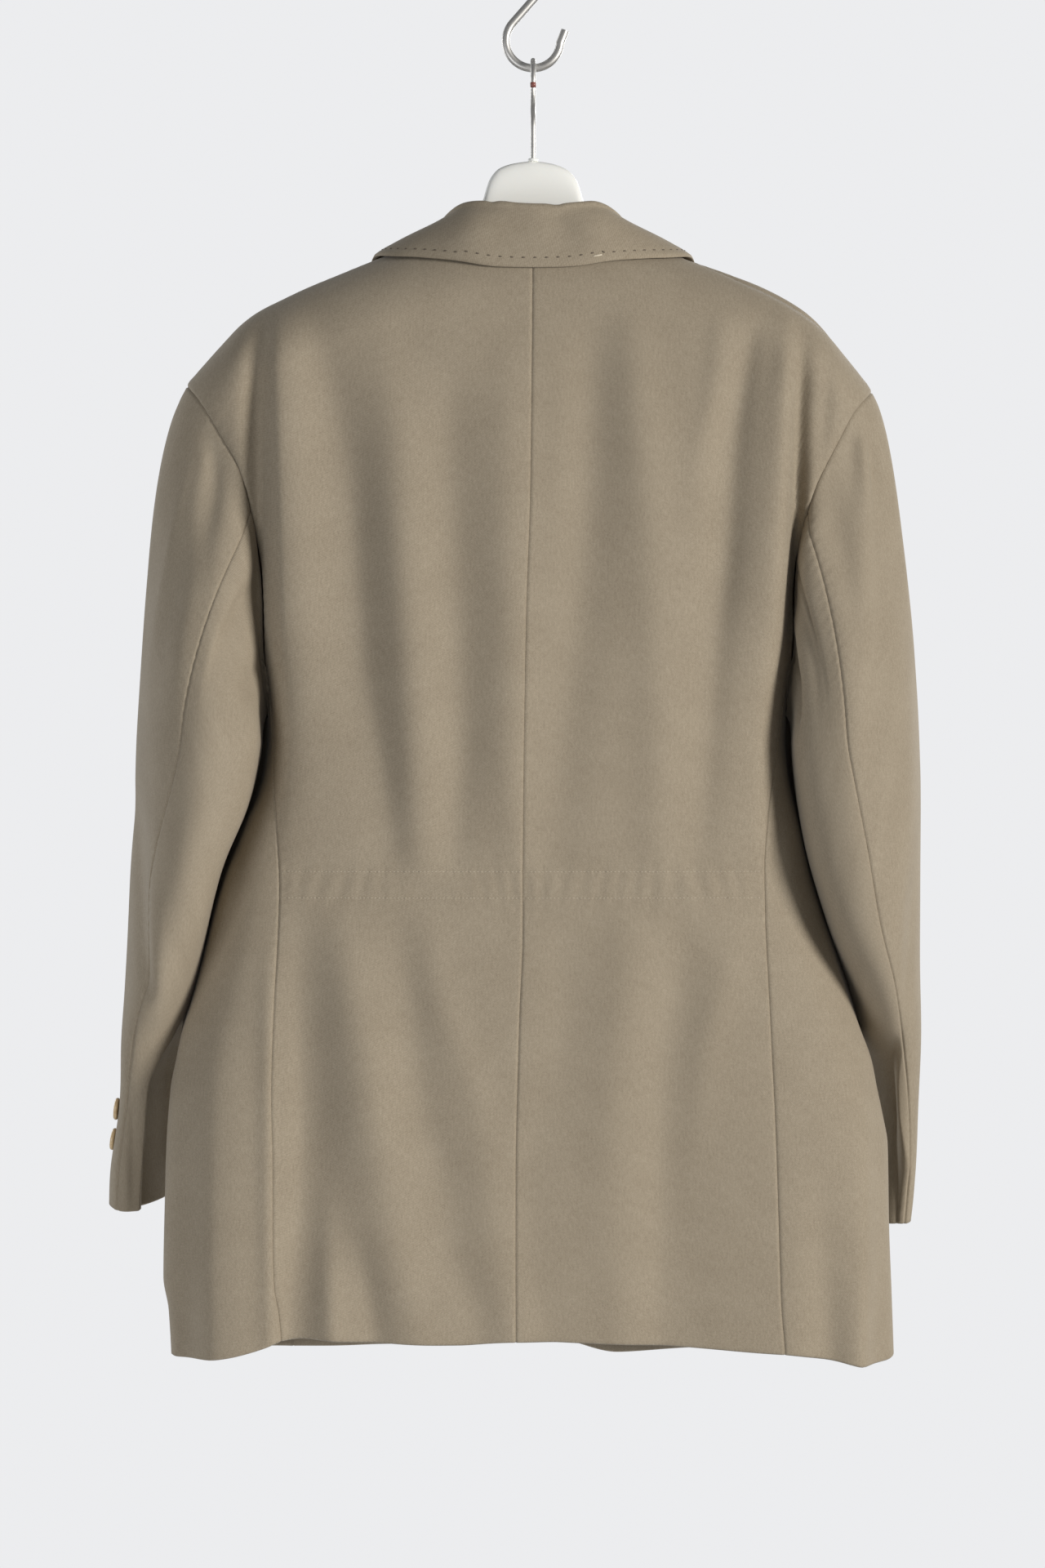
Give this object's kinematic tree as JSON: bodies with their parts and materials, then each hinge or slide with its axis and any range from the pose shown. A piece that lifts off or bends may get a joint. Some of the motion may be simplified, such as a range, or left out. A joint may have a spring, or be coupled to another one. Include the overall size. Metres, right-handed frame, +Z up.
{
  "type": "blazer on a hanger and S-hook",
  "caption": "Oversized notch-lapel blazer in taupe twill on a white plastic hanger that hangs from a steel S-hook, closed at the front.",
  "frame": {"origin": "inner top of the S-hook's upper bowl, where it hangs on a rail", "axes": "+Z up, +Y out of the front of the blazer, its back faces -Y, +X to the wearer's right"},
  "size_m": [0.5739, 0.22, 1.0029],
  "materials": {
    "taupe_twill": "matte",
    "white_plastic": "satin",
    "brushed_steel": "satin",
    "amber_horn": "gloss"
  },
  "bodies": {
    "root": {"back_left": "taupe_twill", "back_right": "taupe_twill", "side_left": "taupe_twill", "side_right": "taupe_twill", "front_left": "taupe_twill", "front_right": "taupe_twill", "collar": "taupe_twill", "sleeve_left_top": "taupe_twill", "sleeve_left_under": "taupe_twill", "sleeve_right_top": "taupe_twill", "sleeve_right_under": "taupe_twill", "waist_casing": "taupe_twill", "front_button_1": "amber_horn", "front_button_2": "amber_horn", "cuff_button_left_1": "amber_horn", "cuff_button_left_2": "amber_horn", "cuff_button_right_1": "amber_horn", "cuff_button_right_2": "amber_horn", "hanger_body": "white_plastic", "hanger_hook": "brushed_steel", "s_hook": "brushed_steel"}
  },
  "joints": []
}
